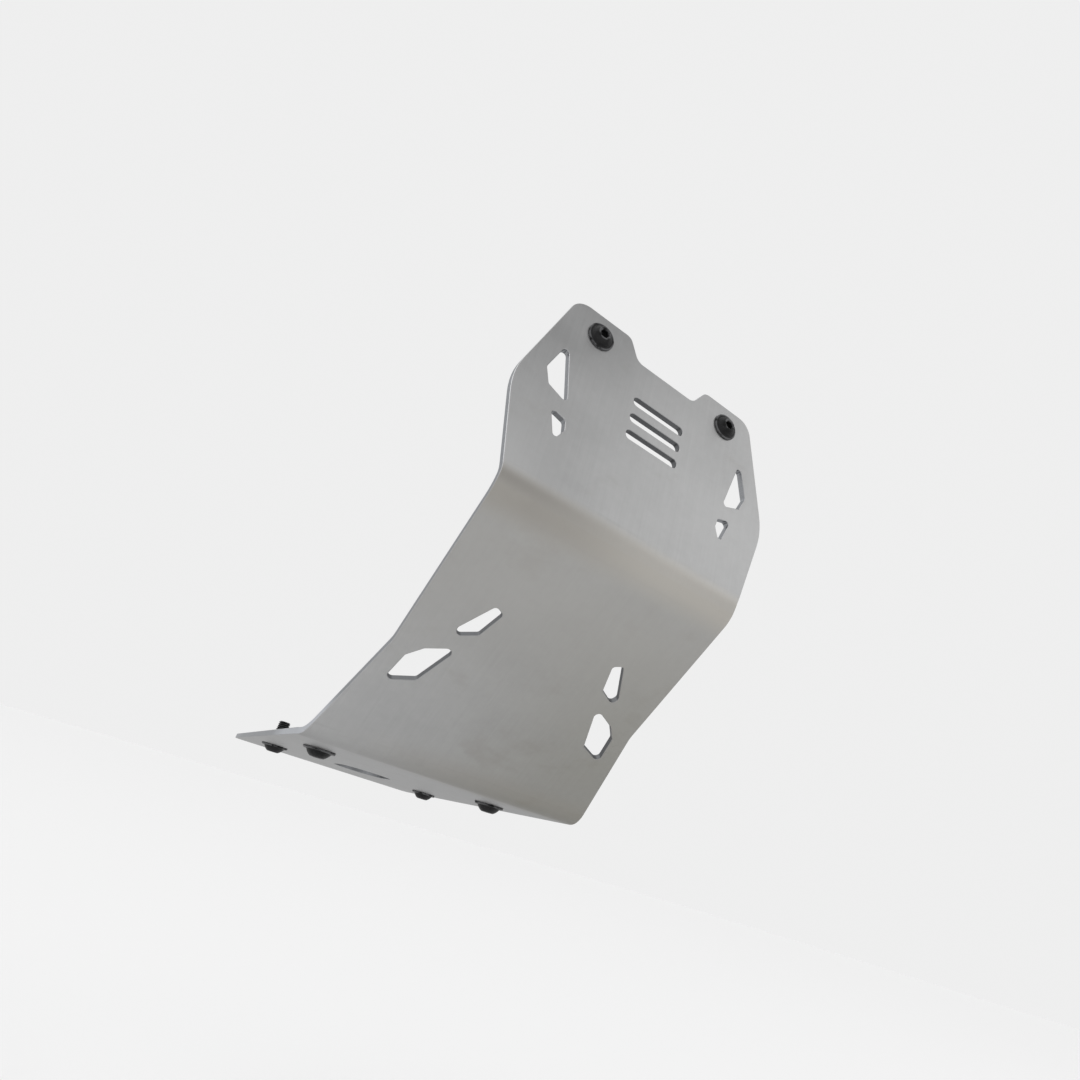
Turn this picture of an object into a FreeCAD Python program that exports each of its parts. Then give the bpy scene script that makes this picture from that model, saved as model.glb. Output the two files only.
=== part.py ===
import FreeCAD, Part
import math
import os

# Engine guard: one folded aluminium sheet and the six flanged screws that hold it.
# Millimetres. X runs across, the front of the guard looks to -Y, +Z is up.
# The origin lies midway between the two front lower screws, on the inner face of the bottom panel.

Vector = FreeCAD.Vector

# Sheet and folds
sheet_thickness = 4.0
bend_inner_radius = 22.0
middle_slope_deg = 43.5
edge_break = 0.3

# Panel lengths on the outer face, from the sharp corners where the flat panels would meet
bottom_length = 342.0
middle_length = 178.0
upper_height = 133.0

# Outline, as half widths from the centre line. Drops are measured down from the ear tops.
bottom_half_width = 95.0
bottom_corner_radius = 8.0
flare_end_radius = 30.0
waist_half_width = 80.0
waist_start = 76.0
waist_radius = 25.0
shoulder_start = 6.5
shoulder_foot_radius = 20.0
shoulder_half_width = 92.5
shoulder_drop = 72.5
shoulder_radius = 42.0
ear_inset = 22.0
ear_corner_radius = 12.0
ear_inner_half_width = 31.0
ear_inner_radius = 6.0
notch_half_width = 22.5
notch_depth = 13.5
notch_corner_radius = 7.0

# Windows of the upper panel: corners as inset from the shoulder's half width and drop from the ear tops
upper_window = [(25.0, 33.5), (17.0, 57.0), (21.0, 66.5), (34.5, 71.5)]
upper_window_radius = 2.2
upper_port = [(26.5, 79.0), (36.3, 81.7), (37.5, 87.5), (33.0, 97.0)]
upper_port_radius = 2.0

# Windows of the middle panel: corners as inset from the waist's half width and rise from the lower corner
middle_window = [(7.0, 51.5), (10.0, 70.5), (17.0, 78.5), (33.5, 86.5), (23.0, 58.5)]
middle_window_radius = 2.8
middle_port = [(43.0, 115.0), (37.0, 118.0), (25.5, 97.5), (27.5, 93.0), (38.0, 98.5)]
middle_port_radius = 2.4

# Slots have nearly round ends, with a short flat between the two arcs
slot_end_flat = 0.2

# Plain vent slots in the middle of the upper panel
vent_length = 38.0
vent_width = 6.0
vent_pitch = 12.0
vent_count = 3
vent_drop = 53.0

# Oblong opening in the bottom panel
bottom_slot_width = 44.0
bottom_slot_length = 67.0
bottom_slot_setback = 198.0

# Screws: places, the upper ones as inset from the shoulder's half width and drop from the ear tops
upper_screw_inset = 42.0
upper_screw_drop = 15.5
front_screw_half_spacing = 66.0
front_screw_setback = 76.5
rear_screw_half_spacing = 72.0
rear_screw_setback = 227.0

# Screws: sizes
upper_screw_diameter = 8.0
upper_neck_diameter = 7.2
upper_screw_length = 20.0
upper_flange_diameter = 17.5
upper_flange_thickness = 1.2
upper_head_diameter = 14.0
upper_head_height = 4.4
upper_socket_width = 5.0
upper_socket_depth = 2.6
lower_screw_diameter = 10.0
lower_neck_diameter = 9.0
lower_screw_length = 20.0
lower_flange_diameter = 21.9
lower_flange_thickness = 1.5
lower_head_diameter = 17.5
lower_head_height = 5.5
lower_socket_width = 6.0
lower_socket_depth = 3.1
screw_hole_clearance = 0.5
screw_tip_chamfer = 1.0
socket_drill_angle_deg = 120.0
dome_flat_margin = 0.8

# Room that the cutting outlines reach past the sheet
cut_margin = 20.0

# Two faces meet at a cut edge where the cosine between their normals is smaller than this
cut_edge_cosine = 0.5


def unit(vector):
    """The vector at length one."""
    return vector * (1.0 / vector.Length)


def rounded_wire(corners):
    """Closed wire through the corners, each a point with the radius of the arc that rounds it."""
    stretches = []
    for index, (point, radius) in enumerate(corners):
        before = unit(corners[index - 1][0] - point)
        after = unit(corners[(index + 1) % len(corners)][0] - point)
        half_angle = before.getAngle(after) / 2.0
        setback = radius / math.tan(half_angle)
        crown = radius / math.sin(half_angle) - radius
        start = point + before * setback
        middle = point + unit(before + after) * crown
        end = point + after * setback
        stretches.append((start, middle, end))
    edges = []
    for index, (start, middle, end) in enumerate(stretches):
        if corners[index][1] > 0:
            edges.append(Part.Arc(start, middle, end).toShape())
        edges.append(Part.makeLine(end, stretches[(index + 1) % len(stretches)][0]))
    return Part.Wire(edges)


class Panel:
    """A flat panel of the sheet: its sharp corner line, the way along it and its outward normal."""

    def __init__(self, corner, along, outward):
        self.corner = corner
        self.along = along
        self.outward = outward

    def point(self, across, height):
        """A point on the outer face."""
        return self.corner + Vector(across, 0, 0) + self.along * height

    def prism(self, corners, reach):
        """Solid of a rounded outline, cut square through the sheet with some reach on both sides."""
        points = [(self.point(across, height), radius) for across, height, radius in corners]
        face = Part.Face(rounded_wire(points))
        face.translate(self.outward * reach)
        return face.extrude(self.outward * -(2.0 * reach + sheet_thickness))

    def trim(self, half_outline, low, high, reach):
        """What lies outside an outline, given as its right half from low to high, between two heights."""
        mirrored = [(-across, height, radius) for across, height, radius in reversed(half_outline)]
        kept = self.prism(half_outline + mirrored, reach + cut_margin)
        side = max(across for across, height, radius in half_outline) + cut_margin
        strip = [(side, low, 0), (side, high, 0), (-side, high, 0), (-side, low, 0)]
        return self.prism(strip, reach).cut(kept)


# The sheet's sharp corner lines and its three panels
slope = math.radians(middle_slope_deg)
bend_outer_radius = bend_inner_radius + sheet_thickness
lower_corner = Vector(0, -front_screw_setback, -sheet_thickness)
up_slope = Vector(0, -math.cos(slope), math.sin(slope))
upper_corner = lower_corner + up_slope * middle_length
bottom_panel = Panel(lower_corner, Vector(0, 1, 0), Vector(0, 0, -1))
middle_panel = Panel(lower_corner, up_slope, Vector(0, -math.sin(slope), -math.cos(slope)))
upper_panel = Panel(upper_corner, Vector(0, 0, 1), Vector(0, -1, 0))

# How far the two bends reach along the panels from the sharp corners
lower_bend_reach = bend_outer_radius * math.tan(slope / 2.0)
upper_bend_reach = bend_outer_radius * math.tan((math.pi / 2.0 - slope) / 2.0)

# Where the outline cut square to one panel gives way to that of the next
lower_changeover = 2.0 * lower_bend_reach
upper_changeover = upper_bend_reach / 2.0


def inner_corner(corner, first, second):
    """The sharp corner of the inner face, one sheet thickness inside two panels."""
    spread = 1.0 + first.outward.dot(second.outward)
    return corner - (first.outward + second.outward) * (sheet_thickness / spread)


def folded_blank():
    """The folded sheet before its outline is cut: its section carried across."""
    rear = bottom_panel.point(0, bottom_length + cut_margin)
    top = upper_panel.point(0, upper_height + cut_margin)
    section = [
        (rear, 0),
        (lower_corner, bend_outer_radius),
        (upper_corner, bend_outer_radius),
        (top, 0),
        (top - upper_panel.outward * sheet_thickness, 0),
        (inner_corner(upper_corner, upper_panel, middle_panel), bend_inner_radius),
        (inner_corner(lower_corner, middle_panel, bottom_panel), bend_inner_radius),
        (rear - bottom_panel.outward * sheet_thickness, 0),
    ]
    half_width = max(bottom_half_width, shoulder_half_width) + cut_margin / 2.0
    face = Part.Face(rounded_wire(section))
    face.translate(Vector(-half_width, 0, 0))
    return face.extrude(Vector(2.0 * half_width, 0, 0))


def upper_trim():
    """Waste round the shoulders, the ears and the notch."""
    outline = [
        (waist_half_width, -2.0 * cut_margin, 0),
        (waist_half_width, shoulder_start, shoulder_foot_radius),
        (shoulder_half_width, upper_height - shoulder_drop, shoulder_radius),
        (shoulder_half_width - ear_inset, upper_height, ear_corner_radius),
        (ear_inner_half_width, upper_height, ear_inner_radius),
        (notch_half_width, upper_height - notch_depth, notch_corner_radius),
    ]
    return upper_panel.trim(outline, -upper_changeover, upper_height + 2.0 * cut_margin, cut_margin)


def middle_trim():
    """Waste beside the waist and the flare, which ends where the lower bend runs out."""
    flare_end = lower_bend_reach - bend_outer_radius * math.sin(slope)
    outline = [
        (bottom_half_width, -4.0 * cut_margin, 0),
        (bottom_half_width, flare_end, flare_end_radius),
        (waist_half_width, waist_start, waist_radius),
        (waist_half_width, middle_length + 2.0 * cut_margin, 0),
    ]
    low = -(lower_changeover + sheet_thickness) * math.cos(slope)
    high = middle_length - upper_changeover
    return middle_panel.trim(outline, low, high, cut_margin + lower_changeover)


def bottom_trim():
    """Waste beside and behind the bottom panel."""
    outline = [
        (bottom_half_width, 0, 0),
        (bottom_half_width, bottom_length, bottom_corner_radius),
    ]
    return bottom_panel.trim(outline, lower_changeover, bottom_length + 2.0 * cut_margin, cut_margin)


def window_pair(panel, corners, radius):
    """A window and its mirror image on the other side of the centre line."""
    return [
        panel.prism([(side * across, height, radius) for across, height in corners], sheet_thickness)
        for side in (-1, 1)
    ]


def upper_windows(corners, radius):
    """A pair of windows in the upper panel."""
    places = [(shoulder_half_width - inset, upper_height - drop) for inset, drop in corners]
    return window_pair(upper_panel, places, radius)


def middle_windows(corners, radius):
    """A pair of windows in the middle panel."""
    places = [(waist_half_width - inset, rise) for inset, rise in corners]
    return window_pair(middle_panel, places, radius)


def rounded_slot(panel, height, length_across, length_along):
    """A slot with nearly round ends on the centre line of a panel, its middle at the given height."""
    half_across = length_across / 2.0
    half_along = length_along / 2.0
    radius = min(half_across, half_along) - slot_end_flat / 2.0
    corners = [
        (half_across, height - half_along, radius),
        (half_across, height + half_along, radius),
        (-half_across, height + half_along, radius),
        (-half_across, height - half_along, radius),
    ]
    return panel.prism(corners, sheet_thickness)


def vent_slots():
    """Parallel slots across the panel, one above the other."""
    first = upper_height - vent_drop - vent_pitch * (vent_count - 1) / 2.0
    return [
        rounded_slot(upper_panel, first + vent_pitch * index, vent_length, vent_width)
        for index in range(vent_count)
    ]


def bottom_slot():
    """The oblong opening in the bottom panel, with its long side along the sheet."""
    return rounded_slot(bottom_panel, bottom_slot_setback, bottom_slot_width, bottom_slot_length)


# Seats of the screws on the outer face
upper_seats = [
    (upper_panel, side * (shoulder_half_width - upper_screw_inset), upper_height - upper_screw_drop)
    for side in (-1, 1)
]
lower_seats = [
    (bottom_panel, side * half_spacing, setback)
    for half_spacing, setback in (
        (front_screw_half_spacing, front_screw_setback),
        (rear_screw_half_spacing, rear_screw_setback),
    )
    for side in (-1, 1)
]


def screw_hole(seat, screw_diameter):
    """Clearance hole through the sheet at a seat."""
    panel, across, height = seat
    start = panel.point(across, height) + panel.outward * sheet_thickness
    radius = screw_diameter / 2.0 + screw_hole_clearance
    return Part.makeCylinder(radius, 3.0 * sheet_thickness, start, panel.outward * -1)


def face_normal_at(face, point):
    """Outward normal of a face at a point on its border."""
    u, v = face.Surface.parameter(point)
    return face.normalAt(u, v)


def cut_edges(solid):
    """The edges where the cut walls meet the faces of the sheet."""
    found = []
    for edge in solid.Edges:
        faces = solid.ancestorsOfType(edge, Part.Face)
        if len(faces) != 2:
            continue
        middle = edge.valueAt((edge.FirstParameter + edge.LastParameter) / 2.0)
        first, second = [face_normal_at(face, middle) for face in faces]
        if abs(first.dot(second)) < cut_edge_cosine:
            found.append(edge)
    return found


def guard_plate():
    """The folded sheet: outline, windows and slots with their edges broken, then the drilled screw holes."""
    cuts = [upper_trim(), middle_trim(), bottom_trim()]
    cuts += upper_windows(upper_window, upper_window_radius)
    cuts += upper_windows(upper_port, upper_port_radius)
    cuts += middle_windows(middle_window, middle_window_radius)
    cuts += middle_windows(middle_port, middle_port_radius)
    cuts += vent_slots()
    cuts.append(bottom_slot())
    sheet = folded_blank().cut(cuts).removeSplitter().Solids[0]
    broken = sheet.makeChamfer(edge_break, cut_edges(sheet))
    holes = [screw_hole(seat, upper_screw_diameter) for seat in upper_seats]
    holes += [screw_hole(seat, lower_screw_diameter) for seat in lower_seats]
    return broken.cut(holes)


def flanged_screw(diameter, neck_diameter, length, flange_diameter, flange_thickness, head_diameter,
                  head_height, socket_width, socket_depth):
    """A flanged button-head screw with a hexagon socket: seat at the origin, shank along +Z.

    The thread starts where a plain neck leaves the sheet.
    """
    shank_radius = diameter / 2.0
    flange_radius = flange_diameter / 2.0
    head_radius = head_diameter / 2.0
    socket_radius = socket_width / math.sqrt(3.0)
    flat_radius = socket_radius + dome_flat_margin
    dome_rise = head_height - flange_thickness
    dome_foot = Vector(head_radius, 0, -flange_thickness)
    dome_top = Vector(flat_radius, 0, -head_height)
    dome_depth = (head_radius ** 2 - flat_radius ** 2 - dome_rise ** 2) / (2.0 * dome_rise)
    dome_centre = Vector(0, 0, dome_depth - flange_thickness)
    dome_middle = unit((dome_foot + dome_top) * 0.5 - dome_centre) * math.hypot(head_radius, dome_depth)
    dome = Part.Arc(dome_foot, dome_centre + dome_middle, dome_top).toShape()
    sides = Part.makePolygon([
        dome_top,
        Vector(0, 0, -head_height),
        Vector(0, 0, length),
        Vector(shank_radius - screw_tip_chamfer, 0, length),
        Vector(shank_radius, 0, length - screw_tip_chamfer),
        Vector(shank_radius, 0, sheet_thickness),
        Vector(neck_diameter / 2.0, 0, sheet_thickness),
        Vector(neck_diameter / 2.0, 0, 0),
        Vector(flange_radius, 0, 0),
        Vector(flange_radius, 0, -flange_thickness),
        dome_foot,
    ])
    section = Part.Face(Part.Wire(sides.Edges + [dome]))
    body = section.revolve(Vector(0, 0, 0), Vector(0, 0, 1), 360)
    corners = [
        (Vector(socket_radius * math.cos(turn), socket_radius * math.sin(turn), -head_height), 0)
        for turn in [math.radians(60.0 * index) for index in range(6)]
    ]
    socket = Part.Face(rounded_wire(corners)).extrude(Vector(0, 0, socket_depth))
    drill_depth = (socket_width / 2.0) / math.tan(math.radians(socket_drill_angle_deg / 2.0))
    drill_point = Part.makeCone(socket_width / 2.0, 0, drill_depth, Vector(0, 0, socket_depth - head_height))
    return body.cut([socket, drill_point])


def seated(screw, seat):
    """A copy of a screw with its flange on the outer face and its shank through the sheet."""
    panel, across, height = seat
    turn = FreeCAD.Rotation(Vector(0, 0, 1), panel.outward * -1)
    copy = screw.copy()
    copy.Placement = FreeCAD.Placement(panel.point(across, height), turn)
    return copy


def upper_screws():
    """The two screws in the ears."""
    screw = flanged_screw(upper_screw_diameter, upper_neck_diameter, upper_screw_length,
                          upper_flange_diameter, upper_flange_thickness, upper_head_diameter,
                          upper_head_height, upper_socket_width, upper_socket_depth)
    return Part.makeCompound([seated(screw, seat) for seat in upper_seats])


def lower_screws():
    """The four screws in the bottom panel."""
    screw = flanged_screw(lower_screw_diameter, lower_neck_diameter, lower_screw_length,
                          lower_flange_diameter, lower_flange_thickness, lower_head_diameter,
                          lower_head_height, lower_socket_width, lower_socket_depth)
    return Part.makeCompound([seated(screw, seat) for seat in lower_seats])


os.makedirs("parts", exist_ok=True)
for node, shape in (
    ("guard_plate", guard_plate()),
    ("upper_screws", upper_screws()),
    ("lower_screws", lower_screws()),
):
    shape.exportStep("parts/" + node + ".step")
    box = shape.BoundBox
    print(node, "solids", len(shape.Solids), "volume", round(shape.Volume, 1), "valid", shape.isValid(),
          "box", [round(value, 1) for value in (box.XMin, box.YMin, box.ZMin, box.XMax, box.YMax, box.ZMax)])
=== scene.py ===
import math
from collections import namedtuple

import bmesh
import bpy
import numpy as np
from mathutils import Matrix, Vector


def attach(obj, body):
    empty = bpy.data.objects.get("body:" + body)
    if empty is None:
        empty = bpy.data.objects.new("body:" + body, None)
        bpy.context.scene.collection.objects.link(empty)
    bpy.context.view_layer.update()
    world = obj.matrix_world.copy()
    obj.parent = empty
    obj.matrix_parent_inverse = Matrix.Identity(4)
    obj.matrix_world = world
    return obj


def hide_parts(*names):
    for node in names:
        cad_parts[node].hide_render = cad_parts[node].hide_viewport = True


# Looks of an engine guard: a folded, brushed aluminium sheet held by black flanged screws.
# Metres. X runs across, the front of the guard looks to -Y, +Z is up.

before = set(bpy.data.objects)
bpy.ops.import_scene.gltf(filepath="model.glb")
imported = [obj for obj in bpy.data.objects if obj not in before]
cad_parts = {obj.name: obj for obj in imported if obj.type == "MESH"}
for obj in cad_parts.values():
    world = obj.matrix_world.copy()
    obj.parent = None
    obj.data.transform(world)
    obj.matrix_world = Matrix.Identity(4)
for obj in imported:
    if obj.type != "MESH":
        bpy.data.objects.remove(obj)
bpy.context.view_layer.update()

# The sheet: its thickness, the outer radius of its bends, the slope of the middle panel, and its two
# sharp outer corner lines as (y, z)
sheet_thickness = 0.004
bend_outer_radius = 0.026
middle_slope = math.radians(43.5)
lower_corner = (-0.0765, -0.004)
upper_corner = (-0.205617, 0.118527)

# How far from its sharp corner line each bend starts
lower_bend_reach = bend_outer_radius * math.tan(middle_slope / 2.0)
upper_bend_reach = bend_outer_radius * math.tan((math.pi / 2.0 - middle_slope) / 2.0)

# Screws: places of their seats
upper_screw_half_spacing = 0.0505
upper_screw_height = 0.236027
front_screw_half_spacing = 0.066
rear_screw_half_spacing = 0.072
rear_screw_setback = 0.1505

# Screws: sizes
ScrewSize = namedtuple("ScrewSize", [
    "thread_radius", "thread_pitch", "neck_radius", "length",
    "flange_radius", "flange_thickness", "head_radius", "head_height",
    "socket_width", "socket_depth",
])
upper_screw = ScrewSize(
    thread_radius=0.004, thread_pitch=0.00125, neck_radius=0.0036, length=0.020,
    flange_radius=0.00875, flange_thickness=0.0012, head_radius=0.007, head_height=0.0044,
    socket_width=0.005, socket_depth=0.0026,
)
lower_screw = ScrewSize(
    thread_radius=0.005, thread_pitch=0.0015, neck_radius=0.0045, length=0.020,
    flange_radius=0.01095, flange_thickness=0.0015, head_radius=0.00875, head_height=0.0055,
    socket_width=0.006, socket_depth=0.0031,
)

# Screws: heads and tips. The lift of the dome's foot is a share of the fillet, and the width and depth of
# the drill point are shares of the socket's corner radius
rim_rounding = 0.0005
dome_inset = 0.0004
dome_fillet = 0.0010
dome_lift_share = 0.4
socket_margin = 0.0010
socket_lead_in = 0.0005
drill_width_share = 0.97
drill_depth_share = 0.5
tip_chamfer = 0.001

# Threads: depth as a share of the pitch, flat crest and sloping flank as shares of half a pitch
thread_depth_share = 0.61
thread_crest_share = 0.10
thread_flank_share = 0.78

# Screws: steps of their meshes
screw_sides = 72
dome_steps = 9
rounding_steps = 6
thread_rows_per_turn = 10

# Screws: how near points are merged, how short an edge is dropped, and how sharp an edge stays sharp
merge_distance = 1e-7
shortest_edge = 1e-8
sharp_angle = math.radians(22.0)

# Rub of a screw's coating and painted shade: nought where it is whole, one where it is worn, minus one
# where shade is painted deep in the socket
unrubbed = 0.0
painted_shade_in_socket = -1.0
rub_at_mouth = 0.4
rub_on_lead_in = 1.0
rub_on_flat = 0.8
rub_on_dome = 0.1
rub_on_rim = 1.0
rub_under_rim = 0.5
# On the thread crests the rub is partly wear, partly a painted highlight
rub_and_highlight_on_crest = 0.6

# Grain of the sheet: how often the noise changes along x, y and z, per metre
brush_grain = (1500.0, 28.0, 28.0)
coarse_brush_grain = (480.0, 16.0, 16.0)
hairline_grain = (900.0, 24.0, 24.0)
cloud_grain = (11.0, 19.0, 19.0)
stain_grain = (22.0, 34.0, 34.0)
mottle_grain = 260.0
wall_line_grain = 2600.0

# Grain of the screws' coating, per metre
coating_grain = 2600.0
coating_cloud_grain = 240.0

# How rough the finishes are on average, and how deep their grain stands
sheet_roughness = 0.37
coating_roughness = 0.46
floor_roughness = 0.95
brush_relief = {"Strength": 0.06, "Distance": 0.0002}
coating_relief = {"Strength": 0.12, "Distance": 0.0001}

# Colours of the sheet's faces
face_dark = (0.28, 0.281, 0.281, 1.0)
face_light = (0.52, 0.521, 0.521, 1.0)
lower_bend_colour = (0.372, 0.360, 0.342, 1.0)
upper_bend_colour = (0.480, 0.453, 0.408, 1.0)
film_colour = (0.385, 0.376, 0.355, 1.0)
# Painted shade at the left end of the upper bend
painted_bend_shade_colour = (0.170, 0.162, 0.150, 1.0)
# Painted shade, darker and warmer, low on the right
painted_shade_right_colour = (0.170, 0.158, 0.110, 1.0)

# Colours of the sheet's cut walls and broken edges
wall_dark = (0.31, 0.318, 0.332, 1.0)
wall_light = (0.37, 0.380, 0.398, 1.0)
# Dark walls of windows and slots: partly the cut's dark skin, partly painted shade
cut_skin_and_shade_colour = (0.110, 0.112, 0.116, 1.0)
# Painted glint on the outer cut walls
painted_glint_colour = (0.66, 0.68, 0.72, 1.0)
# Broken edges, lighter partly by wear and partly as a painted highlight
edge_wear_and_highlight_colour = (0.43, 0.435, 0.445, 1.0)

# Colours of the screws
coating_dark = (0.007, 0.007, 0.0075, 1.0)
coating_light = (0.014, 0.014, 0.0145, 1.0)
worn_and_highlight_colour = (0.15, 0.15, 0.155, 1.0)
# Painted shade inside the socket
painted_socket_shade_colour = (0.003, 0.003, 0.003, 1.0)

# The room and its floor: colours, the middles of the glow and of the grey patch as seen from the guard,
# and how high the floor lies and how far it reaches
room_colour = (0.86, 0.86, 0.86, 1.0)
glow_colour = (0.98, 0.98, 0.98, 1.0)
patch_colour = (0.34, 0.34, 0.343, 1.0)
floor_colour = (0.84, 0.84, 0.84, 1.0)
glow_direction = (0.420, -0.680, 0.601)
patch_direction = (0.102, -0.579, 0.809)
floor_height = -0.32
floor_half_size = 30.0

# Lamps
SoftLamp = namedtuple("SoftLamp", ["name", "place", "aim", "width", "power"])
front_lamp = SoftLamp("front_lamp", place=(3.5, -3.0, 2.2), aim=(0.0, -0.1, 0.12), width=2.8, power=10.0)
left_lamp = SoftLamp("left_lamp", place=(-4.2, -1.5, 2.2), aim=(0.0, -0.1, 1.2), width=3.0, power=18.0)
top_light_strength = 0.8
top_light_spread = math.radians(75.0)
top_light_turn = (math.radians(-4.0), math.radians(-40.0), 0.0)

# Camera: its place, the directions to its right and ahead of it, the focal length as a share of the
# square frame's width, the sensor's width in millimetres, and the nearest thing that it sees
camera_place = (-0.15489, -0.43412, -0.02750)
camera_right = (0.81668, -0.51667, 0.25707)
camera_ahead = (0.37076, 0.81111, 0.45237)
focal_share = 598.35 / 1080.0
sensor_width = 36.0
nearest_seen = 0.01


class Value:
    """A number that varies over a surface: an output socket with arithmetic that adds Math nodes."""

    def __init__(self, finish, socket):
        self.finish = finish
        self.socket = socket

    def math(self, operation, *others):
        """A Math node of this value and the others, in that order."""
        inputs = dict(enumerate([self, *others]))
        return self.finish.value("ShaderNodeMath", {"operation": operation}, inputs)

    def __add__(self, other):
        return self.math("ADD", other)

    def __sub__(self, other):
        return self.math("SUBTRACT", other)

    def __mul__(self, other):
        return self.math("MULTIPLY", other)

    def __rsub__(self, other):
        return (self * -1.0) + other

    def __abs__(self):
        return self.math("ABSOLUTE")

    __radd__ = __add__
    __rmul__ = __mul__

    def above(self, edge):
        """One where the value is greater than the edge, nought elsewhere."""
        return self.math("GREATER_THAN", edge)

    def ramp(self, low, high):
        """Rises smoothly from nought at low to one at high."""
        settings = {"interpolation_type": "SMOOTHSTEP"}
        inputs = {"Value": self, "From Min": low, "From Max": high}
        return self.finish.value("ShaderNodeMapRange", settings, inputs)


class Finish:
    """The node tree of one material or of the world."""

    def __init__(self, owner):
        self.owner = owner
        owner.use_nodes = True
        self.tree = owner.node_tree
        self.tree.nodes.clear()

    def node(self, kind, settings=None, inputs=None):
        """Adds a node: its settings first, then the values or links of its sockets."""
        made = self.tree.nodes.new(kind)
        for name, setting in (settings or {}).items():
            setattr(made, name, setting)
        for key, given in (inputs or {}).items():
            socket = self.socket(made.inputs, key)
            if isinstance(given, Value):
                self.tree.links.new(given.socket, socket)
            else:
                socket.default_value = given
        return made

    def socket(self, sockets, key):
        """The socket with this identifier, or else with this name or number."""
        found = [socket for socket in sockets if socket.identifier == key]
        return found[0] if found else sockets[key]

    def value(self, kind, settings=None, inputs=None, output=0):
        """Adds a node and gives one of its outputs."""
        return Value(self, self.socket(self.node(kind, settings, inputs).outputs, output))

    def parts(self, vector):
        """The x, y and z of a vector."""
        separated = self.node("ShaderNodeSeparateXYZ", None, {"Vector": vector})
        return [Value(self, socket) for socket in separated.outputs]

    def blend(self, share, first, second):
        """A colour that goes from the first to the second as the share goes from nought to one."""
        settings = {"data_type": "RGBA"}
        inputs = {"Factor_Float": share, "A_Color": first, "B_Color": second}
        return self.value("ShaderNodeMix", settings, inputs, "Result_Color")

    def layered(self, colour, layers):
        """A colour with others laid over it in order, each by its own share."""
        for share, laid_over in layers:
            colour = self.blend(share, colour, laid_over)
        return colour

    def stretched(self, place, scale):
        """Places scaled along each axis."""
        return self.value("ShaderNodeMapping", None, {"Vector": place, "Scale": scale})

    def noise(self, place, scale, detail, roughness=0.5):
        """Smooth noise about one half."""
        inputs = {"Vector": place, "Scale": scale, "Detail": detail, "Roughness": roughness}
        return self.value("ShaderNodeTexNoise", None, inputs)

    def show(self, kind, shader):
        """Ends the tree with an output node."""
        self.node(kind, None, {"Surface": shader})
        return self.owner


SheetPlace = namedtuple("SheetPlace", [
    "point", "x", "y", "z", "on_bottom", "on_middle", "on_upper",
    "from_lower", "from_upper", "squareness", "outside",
])


def sheet_place(finish):
    """Where a point lies on the folded sheet.

    Gives its panel, its distances from the two sharp corner lines, how squarely the surface there faces
    out of the sheet, which is one on a face and nought on a cut wall, and whether it is on the outside.
    """
    coordinates = finish.node("ShaderNodeTexCoord")
    point = Value(finish, coordinates.outputs["Object"])
    facing = Value(finish, coordinates.outputs["Normal"])
    x, y, z = finish.parts(point)
    facing_y, facing_z = finish.parts(facing)[1:]
    on_bottom = y.above(lower_corner[0])
    on_upper = z.above(upper_corner[1])
    on_middle = 1.0 - on_bottom - on_upper
    normal_y = on_upper + on_middle * math.sin(middle_slope)
    normal_z = on_bottom + on_middle * math.cos(middle_slope)
    facing_in = facing_y * normal_y + facing_z * normal_z

    def from_corner(corner):
        from_y = y - corner[0]
        from_z = z - corner[1]
        return (from_y * from_y + from_z * from_z).math("SQRT")

    return SheetPlace(
        point=point, x=x, y=y, z=z,
        on_bottom=on_bottom, on_middle=on_middle, on_upper=on_upper,
        from_lower=from_corner(lower_corner), from_upper=from_corner(upper_corner),
        squareness=abs(facing_in), outside=1.0 - facing_in.ramp(-0.2, 0.2),
    )


def patchy(cloud):
    """About one, and uneven as the clouds are."""
    return 0.6 + cloud * 0.8


BendMarks = namedtuple("BendMarks", ["upper", "lower", "smear", "crease", "lip", "film", "line"])


def bend_marks(at, cloud):
    """What the press leaves at the bends, and painted light and shade at the upper one's left end.

    A warmer band goes round each bend. At the upper one it ends sharply above and softly below, and a
    thin film fades down the middle panel. A thin broken line shows where a bend starts. At the left end
    of the upper bend a dark band is painted shade, darkest just above the bend, with a painted highlight
    on a lighter strip above that. Ramps over places go by metres, here and in the other marks.
    """
    above_bend = at.from_upper.ramp(0.0045, 0.0128)
    below_bend = at.from_upper.ramp(0.005, 0.022)
    upper = 1.0 - above_bend * at.on_upper - below_bend * (1.0 - at.on_upper)
    lower = (1.0 - at.from_lower.ramp(0.007, 0.024)) * at.x.ramp(-0.09, 0.0)
    # Painted shade: a dark band over the left end of the upper bend, darkest in a line just above the
    # bend
    smear = upper * (1.0 - at.x.ramp(-0.06, 0.03)) * patchy(cloud)
    crease = 1.0 - abs(at.z - (upper_corner[1] + 0.0043)).ramp(0.0004, 0.0050)
    crease = crease * (1.0 - at.x.ramp(-0.09, -0.02))
    # Painted highlight: a lighter strip on the upper panel above the left end of the bend
    lip = at.on_upper * at.from_upper.ramp(0.006, 0.013) * (1.0 - at.from_upper.ramp(0.015, 0.090))
    lip = lip * (1.0 - at.x.ramp(-0.085, -0.045))
    film = at.on_middle * at.z.ramp(0.02, 0.09)
    upper_line = 1.0 - abs(at.from_upper - upper_bend_reach).ramp(0.0002, 0.0014)
    lower_line = 1.0 - abs(at.from_lower - lower_bend_reach).ramp(0.0002, 0.0014)
    line = (upper_line + lower_line) * cloud.ramp(0.35, 0.65)
    return BendMarks(upper, lower, smear, crease, lip, film, line)


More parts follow.
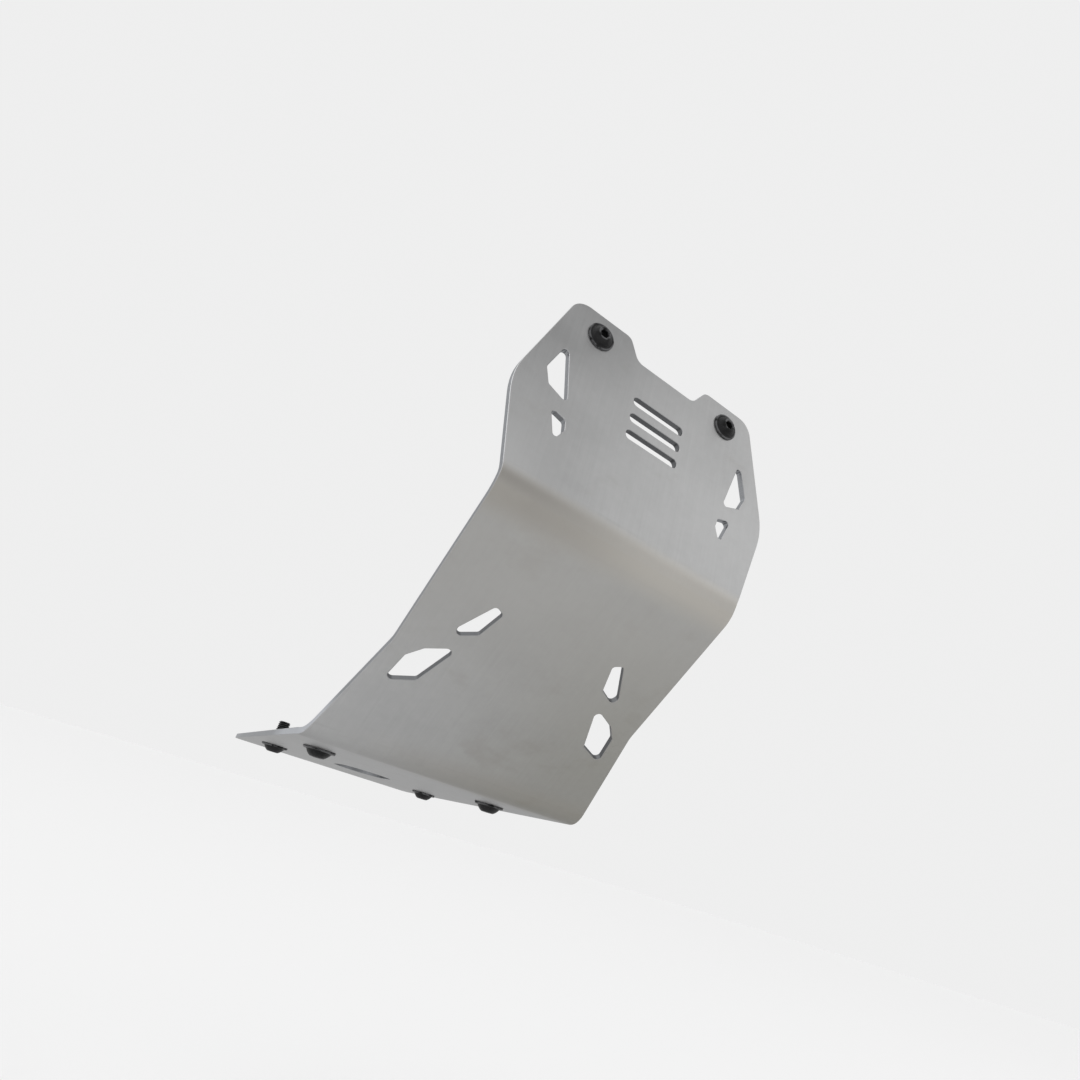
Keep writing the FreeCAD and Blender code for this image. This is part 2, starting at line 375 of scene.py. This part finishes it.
def wall_marks(at):
    """How dark a wall is made, by the cut's dark skin and by painted shade, and where it has a painted
    glint.

    Walls of windows and slots are darkened, partly skin and partly painted shade, less so in the upper
    windows and the bottom opening. A painted glint lies on the outer walls round the lower bend and at
    the rear corners.
    """
    from_middle = abs(at.x)
    inward = (1.0 - from_middle.ramp(0.0775, 0.0795)) * (1.0 - at.z.ramp(0.222, 0.230))
    inward = inward * (1.0 - at.y.ramp(0.24, 0.26))
    in_upper_window = at.on_upper * from_middle.ramp(0.045, 0.060)
    # The darkening of window and slot walls is partly the cut's dark skin and partly painted shade
    cut_skin_and_shade = inward * (1.0 - in_upper_window * 0.75 - at.on_bottom * 0.45)
    # Painted glint on the outer cut walls round the lower bend and at the rear corners
    painted_glint_up = (1.0 - at.on_bottom) * (1.0 - at.from_lower.ramp(0.015, 0.036))
    painted_glint_back = at.on_bottom * (1.0 - at.y.ramp(-0.025, 0.030) * 0.85 + at.y.ramp(0.19, 0.25) * 0.4)
    painted_glint = (painted_glint_up + painted_glint_back) * from_middle.ramp(0.078, 0.084)
    return cut_skin_and_shade, painted_glint


def painted_light_and_shade(at, cloud):
    """Where painted shade and painted light lie on the sheet.

    Painted shade, darker and warmer, lies on the outside, low on the right. Painted light makes the sheet
    a little brighter low on the left and below the notch, and painted shade makes it duller on the right
    of the bottom panel.
    """
    # Painted shade on the outside, low on the right
    painted_shade_right = at.x.ramp(-0.07, 0.085) * (1.0 - at.z.ramp(0.02, 0.13)) * (1.0 - at.y.ramp(-0.08, -0.03))
    painted_shade_right = painted_shade_right * at.outside * patchy(cloud)
    # Painted light: brighter low on the left and below the notch
    painted_light_low = (1.0 - at.z.ramp(0.02, 0.075)) * (1.0 - at.y.ramp(-0.10, -0.06))
    painted_light_left = painted_light_low * (1.0 - at.x.ramp(-0.075, 0.01))
    painted_light_top = at.z.ramp(0.18, 0.225) * (1.0 - abs(at.x - 0.005).ramp(0.012, 0.045))
    # Painted shade: darker on the right of the bottom panel
    painted_shade_bottom = at.y.ramp(-0.09, -0.03) * at.x.ramp(-0.03, 0.03)
    return painted_shade_right, painted_light_left + painted_light_top, painted_shade_bottom


def brushed_aluminium():
    """Satin sheet: brush lines along it, clouds, stains, pressed bends, cut walls, painted light and
    shade.
    """
    finish = Finish(bpy.data.materials.new("brushed_aluminium"))
    at = sheet_place(finish)
    wall = 1.0 - at.squareness.ramp(0.55, 0.80)
    edge = at.squareness.ramp(0.55, 0.68) * (1.0 - at.squareness.ramp(0.76, 0.88))

    # Brush lines run along the sheet, so they change fast across it and slowly the other ways
    brush = finish.noise(finish.stretched(at.point, brush_grain), 1.0, 3.0, 0.6)
    coarse_brush = finish.noise(finish.stretched(at.point, coarse_brush_grain), 1.0, 2.0)
    hairline = finish.noise(finish.stretched(at.point, hairline_grain), 1.0, 1.0).ramp(0.72, 0.80)

    # Wiped clouds lie mostly across the sheet, stains are smaller and warmer, mottle is a fine grain
    cloud = finish.noise(finish.stretched(at.point, cloud_grain), 1.0, 5.0, 0.55)
    stain = finish.noise(finish.stretched(at.point, stain_grain), 1.0, 4.0, 0.6).ramp(0.55, 0.75)
    mottle = finish.noise(at.point, mottle_grain, 3.0)

    # Saw-like lines across the cut walls
    slope_along = at.z * math.sin(middle_slope) - at.y * math.cos(middle_slope)
    along = at.y * at.on_bottom + at.z * at.on_upper + slope_along * at.on_middle
    wall_place = finish.value(
        "ShaderNodeCombineXYZ", None, {"X": at.x * wall_line_grain, "Y": along * wall_line_grain})
    wall_lines = finish.noise(wall_place, 1.0, 2.0)

    bend = bend_marks(at, cloud)
    cut_skin_and_shade, painted_glint = wall_marks(at)
    painted_shade_right, painted_light, painted_shade_bottom = painted_light_and_shade(at, cloud)

    shade = 0.5 + (brush - 0.5) * 0.20 + (coarse_brush - 0.5) * 0.12 + (cloud - 0.5) * 0.65
    shade = shade + (mottle - 0.5) * 0.14 - stain * 0.08 - bend.line * 0.12 + hairline * 0.05
    # Painted light low on the left and below the notch; painted shade on the right of the bottom panel
    shade = shade + painted_light * 0.13 - painted_shade_bottom * 0.09
    face_colour = finish.layered(finish.blend(shade, face_dark, face_light), [
        (bend.lower * 0.6 + stain * 0.4, lower_bend_colour),
        (bend.film * 0.5, film_colour),
        (bend.upper * 0.6, upper_bend_colour),
        # Painted shade at the left end of the upper bend
        (bend.smear * 0.42 + bend.crease * 0.16, painted_bend_shade_colour),
        # Painted highlight above the upper bend's left end
        (bend.lip * 0.5, face_light),
        # Painted shade, darker and warmer, low on the right
        (painted_shade_right * 0.4, painted_shade_right_colour),
    ])
    wall_colour = finish.layered(finish.blend(wall_lines.ramp(0.3, 0.7), wall_dark, wall_light), [
        # Window and slot walls: partly dark skin, partly painted shade
        (cut_skin_and_shade * 0.9, cut_skin_and_shade_colour),
        # Painted glint on the outer walls
        (painted_glint * 0.8, painted_glint_colour),
    ])
    # The broken edges are lighter, partly worn and partly a painted highlight
    colour = finish.layered(face_colour, [(wall, wall_colour), (edge * 0.2, edge_wear_and_highlight_colour)])

    roughness = sheet_roughness + (brush - 0.5) * 0.12 + (cloud - 0.5) * 0.16 + stain * 0.06
    height = (brush * 0.6 + coarse_brush * 0.4) * (1.0 - wall) + wall_lines * wall
    normal = finish.value("ShaderNodeBump", None, {**brush_relief, "Height": height})
    shader = finish.value("ShaderNodeBsdfPrincipled", None, {
        "Base Color": colour,
        "Metallic": 1.0,
        "Roughness": roughness,
        "Specular Tint": (0.6, 0.6, 0.6, 1.0),
        "Normal": normal,
    })
    return finish.show("ShaderNodeOutputMaterial", shader)


def black_screw():
    """Black satin coating with a fine grain, worn at the rims, with painted shade inside the socket."""
    finish = Finish(bpy.data.materials.new("black_screw"))
    point = Value(finish, finish.node("ShaderNodeTexCoord").outputs["Object"])
    rub_and_shade = finish.value("ShaderNodeAttribute", {"attribute_name": "rub_and_shade"}, None, "Fac")
    grain = finish.noise(point, coating_grain, 2.0)
    cloud = finish.noise(point, coating_cloud_grain, 3.0)
    # Lighter at worn rims, and on thread crests partly as a painted highlight
    wear_and_highlight = rub_and_shade.ramp(unrubbed, rub_on_rim) * cloud.ramp(0.34, 0.56)
    # Painted shade deep in the socket
    painted_socket_shade = 1.0 - rub_and_shade.ramp(painted_shade_in_socket, unrubbed)
    coating = finish.blend(cloud.ramp(0.3, 0.7), coating_dark, coating_light)
    colour = finish.layered(coating, [(wear_and_highlight * 0.7, worn_and_highlight_colour), (painted_socket_shade, painted_socket_shade_colour)])
    roughness = coating_roughness + (grain - 0.5) * 0.16 + (cloud - 0.5) * 0.14
    roughness = roughness - wear_and_highlight * 0.08 + painted_socket_shade * 0.3
    normal = finish.value("ShaderNodeBump", None, {**coating_relief, "Height": grain})
    shader = finish.value("ShaderNodeBsdfPrincipled", None, {
        "Base Color": colour,
        "Metallic": wear_and_highlight * 0.5,
        "Roughness": roughness,
        "Specular IOR Level": 0.14,
        "Normal": normal,
    })
    return finish.show("ShaderNodeOutputMaterial", shader)


def arc_rows(centre, radius, start, end, count):
    """Points (radius, height) on an arc about a centre, from one angle to another in equal steps."""
    turn = np.linspace(start, end, count)
    return np.column_stack([centre[0] + radius * np.cos(turn), centre[1] + radius * np.sin(turn)])


def head_rows(size):
    """Rows (radius, height, hexagon share, wear and painted shade) of the head, from the socket's floor
    out to the seat.

    Heights are negative above the seat. The dome is part of a sphere about the axis, through the rim of
    the flat round the socket and the dome's foot. A hollow fillet touches the sphere at the foot and
    levels out towards the flange, whose rim is a quarter circle. The hexagon share is one where the row
    follows the socket's hexagon and nought where it is a circle.
    """
    hexagon = 1.0
    circle = 0.0
    corner_radius = size.socket_width / math.sqrt(3.0)
    flat_radius = corner_radius + socket_margin
    foot_radius = size.head_radius - dome_inset
    foot = -size.flange_thickness - dome_fillet * dome_lift_share
    rise = size.head_height + foot
    depth = (foot_radius ** 2 - flat_radius ** 2 - rise ** 2) / (2.0 * rise)
    centre = (0.0, depth + foot)
    sphere = math.hypot(foot_radius, depth)
    first = math.atan2(-size.head_height - centre[1], flat_radius)
    last = math.atan2(foot - centre[1], foot_radius)
    dome = arc_rows(centre, sphere, first, last, dome_steps)
    fillet_centre = (foot_radius + dome_fillet * math.cos(last), foot + dome_fillet * math.sin(last))
    fillet = arc_rows(fillet_centre, dome_fillet, math.pi + last, math.pi / 2.0, rounding_steps)
    rim_centre = (size.flange_radius - rim_rounding, rim_rounding - size.flange_thickness)
    rim = arc_rows(rim_centre, rim_rounding, -math.pi / 2.0, 0.0, rounding_steps)
    socket_floor = size.socket_depth - size.head_height
    drill_point = socket_floor + corner_radius * drill_depth_share
    rows = [
        (0.0, drill_point, hexagon, painted_shade_in_socket),
        (corner_radius * drill_width_share, socket_floor, hexagon, painted_shade_in_socket),
        (corner_radius, socket_floor, hexagon, painted_shade_in_socket),
        (corner_radius, socket_lead_in - size.head_height, hexagon, rub_at_mouth),
        (corner_radius + socket_lead_in, -size.head_height, circle, rub_on_lead_in),
        (*dome[0], circle, rub_on_flat),
    ]
    rows += [(*point, circle, rub_on_dome) for point in dome[1:]]
    rows += [(*point, circle, unrubbed) for point in fillet]
    rows += [(*point, circle, rub_on_rim) for point in rim]
    rows += [(size.flange_radius, 0.0, circle, rub_under_rim), (size.neck_radius, 0.0, circle, unrubbed)]
    return np.array(rows)


def screw_surface(size):
    """Points, faces, and wear with painted shade and highlight, of one screw with its seat at the origin
    and its shank along +Z.

    The head is its rows carried round the axis, where a hexagon row has the radius of a hexagon at each
    angle. The thread is a height field round the axis: its radius falls and rises in a triangle wave of
    the height less the pitch times the turn. It fades out at the neck and is cut by the tip's chamfer.
    """
    turn = np.linspace(0.0, 2.0 * math.pi, screw_sides, endpoint=False)
    head = head_rows(size)
    hexagon_radius = math.cos(math.pi / 6.0) / np.cos(np.mod(turn, math.pi / 3.0) - math.pi / 6.0)
    head_radius = head[:, :1] * (1.0 + head[:, 2:3] * (hexagon_radius[None, :] - 1.0))
    head_height = np.repeat(head[:, 1:2], screw_sides, axis=1)

    threaded = size.length - sheet_thickness
    count = int(threaded / size.thread_pitch * thread_rows_per_turn)
    along = np.linspace(0.0, threaded, count)[:, None]
    wave = np.abs(2.0 * np.mod(along / size.thread_pitch - turn[None, :] / (2.0 * math.pi), 1.0) - 1.0)
    flank = np.clip((wave - thread_crest_share) / thread_flank_share, 0.0, 1.0)
    groove = thread_depth_share * size.thread_pitch * flank
    fade = np.clip(along / size.thread_pitch, 0.0, 1.0)
    crest = size.thread_radius - (1.0 - fade) * (size.thread_radius - size.neck_radius)
    tip_limit = size.thread_radius - np.clip(along - (threaded - tip_chamfer), 0.0, None)
    shank_radius = np.minimum(np.minimum(crest - groove * fade, size.thread_radius), tip_limit)
    shank_height = np.repeat(along + sheet_thickness, screw_sides, axis=1)

    neck_radius = np.full((1, screw_sides), size.neck_radius)
    neck_height = np.full((1, screw_sides), sheet_thickness)
    end_radius = np.zeros((1, screw_sides))
    end_height = np.full((1, screw_sides), size.length)
    radius = np.vstack([head_radius, neck_radius, shank_radius, end_radius])
    height = np.vstack([head_height, neck_height, shank_height, end_height])
    points = np.stack([radius * np.cos(turn), radius * np.sin(turn), height], axis=-1)

    rows = len(radius)
    row, side = np.meshgrid(np.arange(rows - 1), np.arange(screw_sides), indexing="ij")
    after = (side + 1) % screw_sides
    faces = np.stack([
        row * screw_sides + side, row * screw_sides + after,
        (row + 1) * screw_sides + after, (row + 1) * screw_sides + side,
    ], axis=-1).reshape(-1, 4)
    rub_and_shade_values = np.zeros((rows, screw_sides))
    rub_and_shade_values[:len(head)] = head[:, 3:4]
    # Lighter thread crests: partly wear, partly a painted highlight
    rub_and_shade_values[len(head) + 1:-1] = rub_and_highlight_on_crest * fade * (1.0 - groove / groove.max())
    return points.reshape(-1, 3), faces, rub_and_shade_values.ravel()


def close_and_shade(mesh):
    """Closes the poles by merging their points, turns the faces outwards and shades by angle."""
    work = bmesh.new()
    work.from_mesh(mesh)
    bmesh.ops.remove_doubles(work, verts=work.verts, dist=merge_distance)
    bmesh.ops.dissolve_degenerate(work, edges=work.edges, dist=shortest_edge)
    bmesh.ops.recalc_face_normals(work, faces=work.faces)
    work.to_mesh(mesh)
    work.free()
    mesh.shade_smooth()
    mesh.set_sharp_from_angle(angle=sharp_angle)


def screw_set(name, size, seats, node, material):
    """One piece of several equal screws. Each seat gives its place and the turn of the screw's axis."""
    points, faces, rub_and_shade_values = screw_surface(size)
    placed = [points @ np.array(turn.to_3x3()).T + np.array(place) for place, turn in seats]
    mesh = bpy.data.meshes.new(name)
    mesh.from_pydata(
        np.vstack(placed).tolist(), [],
        np.vstack([faces + index * len(points) for index in range(len(seats))]).tolist(),
    )
    rub_and_shade = mesh.attributes.new("rub_and_shade", "FLOAT", "POINT")
    rub_and_shade.data.foreach_set("value", np.tile(rub_and_shade_values, len(seats)).astype(np.float32))
    piece = bpy.data.objects.new(name, mesh)
    bpy.context.scene.collection.objects.link(piece)
    close_and_shade(mesh)
    mesh.materials.append(material)
    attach(piece, "root")
    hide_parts(node)


def studio_world():
    """A pale room all round, paler at the upper front, with a round grey patch above that."""
    finish = Finish(bpy.data.worlds.new("studio"))
    direction = Value(finish, finish.node("ShaderNodeTexCoord").outputs["Generated"])

    def nearness(middle):
        settings = {"operation": "DOT_PRODUCT"}
        return finish.value("ShaderNodeVectorMath", settings, {0: direction, 1: middle}, "Value")

    glow = nearness(glow_direction).ramp(0.84, 0.985)
    patch = nearness(patch_direction).ramp(0.93, 0.995)
    sky = finish.layered(finish.blend(glow, room_colour, glow_colour), [(patch, patch_colour)])
    light = finish.value("ShaderNodeBackground", None, {"Color": sky, "Strength": 1.0})
    return finish.show("ShaderNodeOutputWorld", light)


def pale_floor():
    """A wide level square below the guard."""
    finish = Finish(bpy.data.materials.new("pale_floor"))
    shader = finish.value("ShaderNodeBsdfPrincipled", None, {
        "Base Color": floor_colour,
        "Roughness": floor_roughness,
    })
    material = finish.show("ShaderNodeOutputMaterial", shader)
    reach = floor_half_size
    corners = [(x * reach, y * reach, floor_height) for x, y in ((-1, -1), (1, -1), (1, 1), (-1, 1))]
    mesh = bpy.data.meshes.new("floor")
    mesh.from_pydata(corners, [], [(0, 1, 2, 3)])
    mesh.materials.append(material)
    floor = bpy.data.objects.new("floor", mesh)
    bpy.context.scene.collection.objects.link(floor)


def hang_soft_lamp(given):
    """A square area lamp at its place, turned to its aim."""
    lamp = bpy.data.lights.new(given.name, "AREA")
    lamp.shape = "SQUARE"
    lamp.size = given.width
    lamp.energy = given.power
    holder = bpy.data.objects.new(given.name, lamp)
    holder.location = given.place
    ahead = Vector(given.aim) - Vector(given.place)
    holder.rotation_euler = ahead.to_track_quat("-Z", "Y").to_euler()
    bpy.context.scene.collection.objects.link(holder)


def hang_top_light():
    """A wide soft light from the upper left, the same all over the floor."""
    lamp = bpy.data.lights.new("top_light", "SUN")
    lamp.energy = top_light_strength
    lamp.angle = top_light_spread
    holder = bpy.data.objects.new("top_light", lamp)
    holder.rotation_euler = top_light_turn
    bpy.context.scene.collection.objects.link(holder)


def photo_camera():
    """A wide lens close to the guard's front, low and a little rolled, in a square frame."""
    right = Vector(camera_right).normalized()
    ahead = Vector(camera_ahead)
    ahead = (ahead - ahead.dot(right) * right).normalized()
    up = right.cross(ahead)
    turn = Matrix((right, up, -ahead)).transposed().to_4x4()
    lens = bpy.data.cameras.new("camera")
    lens.sensor_width = sensor_width
    lens.lens = sensor_width * focal_share
    lens.clip_start = nearest_seen
    camera = bpy.data.objects.new("camera", lens)
    camera.matrix_world = Matrix.Translation(camera_place) @ turn
    bpy.context.scene.collection.objects.link(camera)
    bpy.context.scene.camera = camera


# The plate keeps its solid's mesh and gets its finish
aluminium = brushed_aluminium()
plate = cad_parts["guard_plate"]
plate.data.materials.clear()
plate.data.materials.append(aluminium)

# The screws get threads, rounded rims, a fillet under the dome and a lead-in at the socket. The upper
# ones point backwards, the lower ones up
black = black_screw()
backwards = Matrix.Rotation(math.radians(-90.0), 4, "X")
upwards = Matrix.Identity(4)
lower_rows = [(front_screw_half_spacing, 0.0), (rear_screw_half_spacing, rear_screw_setback)]
upper_seats = [
    ((side * upper_screw_half_spacing, upper_corner[0], upper_screw_height), backwards)
    for side in (-1, 1)
]
lower_seats = [
    ((side * half_spacing, setback, -sheet_thickness), upwards)
    for half_spacing, setback in lower_rows
    for side in (-1, 1)
]
screw_set("threaded_upper_screws", upper_screw, upper_seats, "upper_screws", black)
screw_set("threaded_lower_screws", lower_screw, lower_seats, "lower_screws", black)

# The stage
bpy.context.scene.world = studio_world()
bpy.context.scene.view_settings.view_transform = "Standard"
pale_floor()
hang_soft_lamp(front_lamp)
hang_soft_lamp(left_lamp)
hang_top_light()
photo_camera()
